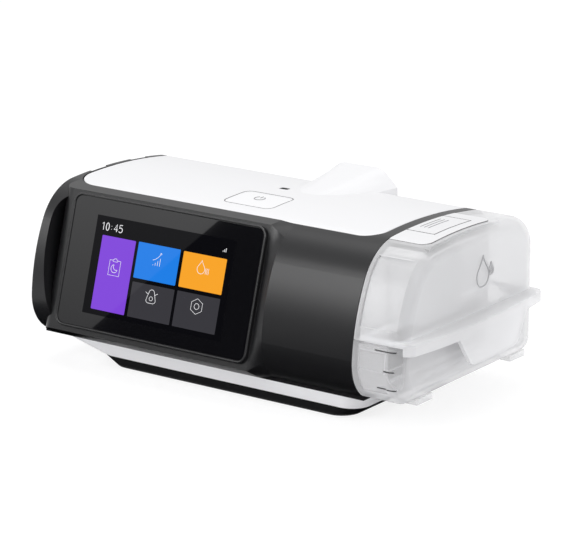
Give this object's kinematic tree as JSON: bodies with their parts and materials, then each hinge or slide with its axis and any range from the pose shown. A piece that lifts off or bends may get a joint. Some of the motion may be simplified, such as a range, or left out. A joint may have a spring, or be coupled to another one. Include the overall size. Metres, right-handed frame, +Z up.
{
  "type": "cpap machine",
  "caption": "Table-top breathing-air machine with a tilted front screen, a top button and a water tank with a hinged lid that docks on its right end.",
  "frame": {"origin": "middle of the whole machine's footprint box, on the table surface", "axes": "+X towards the water tank, +Y towards the rear with the hose outlet, +Z up; the screen faces -Y"},
  "size_m": [0.275, 0.1616, 0.1118],
  "materials": {
    "body_black": "satin",
    "cover_white": "satin",
    "panel_white": "satin",
    "plate_white": "satin",
    "tray_white": "satin",
    "base_black": "matte",
    "frame_grey": "satin",
    "screen_glass": "gloss",
    "smoked_window": "gloss",
    "inner_black": "matte",
    "circuit_green": "satin",
    "foot_rubber": "matte",
    "seal_silicone": "matte",
    "bare_aluminium": "brushed",
    "motor_steel": "brushed",
    "impeller_white": "satin",
    "filter_fabric": "matte",
    "tank_clear": "translucent gloss",
    "tank_frosted": "translucent satin"
  },
  "bodies": {
    "base_unit": {"front_shell": "body_black", "side_panel": "panel_white", "air_filter": "filter_fabric", "screen_frame": "frame_grey", "screen_glass": "screen_glass", "display_module": "inner_black", "screen_board": "circuit_green", "top_cover": "cover_white", "rear_cover": "body_black", "power_switch": "inner_black", "status_window": "smoked_window", "outlet_port": "body_black", "power_inlet": "inner_black", "main_board": "circuit_green", "bottom_tray": "tray_white", "base_plate": "base_black", "base_feet": "foot_rubber", "tank_bay": "inner_black", "heater_plate": "bare_aluminium", "dock_seals": "seal_silicone", "supply_duct": "inner_black", "return_duct": "inner_black", "blower_casing": "inner_black", "blower_cover": "inner_black", "blower_motor": "motor_steel", "motor_bearings": "motor_steel", "blower_mounts": "foot_rubber", "blower_bracket": "inner_black"},
    "impeller_rotor": {"impeller": "impeller_white"},
    "button_cap": {"power_button": "cover_white"},
    "filter_hatch": {"filter_door": "panel_white"},
    "tank_body": {"tank_tub": "tank_clear", "tank_base_plate": "bare_aluminium", "tongue_cover": "tank_frosted", "hinge_pin": "motor_steel"},
    "lid_body": {"tank_lid": "tank_frosted", "lid_seal": "seal_silicone", "lid_baffle": "tank_frosted", "release_plate": "plate_white"},
    "leaf_body": {"release_leaf": "plate_white"}
  },
  "joints": [
    {"name": "impeller_spin", "type": "hinge", "parent": "base_unit", "child": "impeller_rotor", "pos_m": [-0.082, -0.006, 0.068], "axis": [0, 0, 1], "continuous": true},
    {"name": "button_press", "type": "slide", "parent": "base_unit", "child": "button_cap", "axis": [0, 0, -1], "range_m": [0, 0.0008], "stiffness_N_per_m": 400, "springref_m": -0.0012},
    {"name": "filter_door_pull", "type": "slide", "parent": "base_unit", "child": "filter_hatch", "axis": [-1, 0, 0], "range_m": [0, 0.03]},
    {"name": "tank_slide", "type": "slide", "parent": "base_unit", "child": "tank_body", "axis": [1, 0, 0], "range_m": [0, 0.1]},
    {"name": "lid_hinge", "type": "hinge", "parent": "tank_body", "child": "lid_body", "pos_m": [0.11025, 0.0675, 0.05], "axis": [-1, 0, 0], "range_deg": [0, 95]},
    {"name": "leaf_press", "type": "hinge", "parent": "lid_body", "child": "leaf_body", "pos_m": [0.1125, -0.0065, 0.1035], "axis": [0, -1, 0], "range_deg": [0, 4], "stiffness_Nm_per_rad": 0.2, "springref_deg": -1.72}
  ]
}
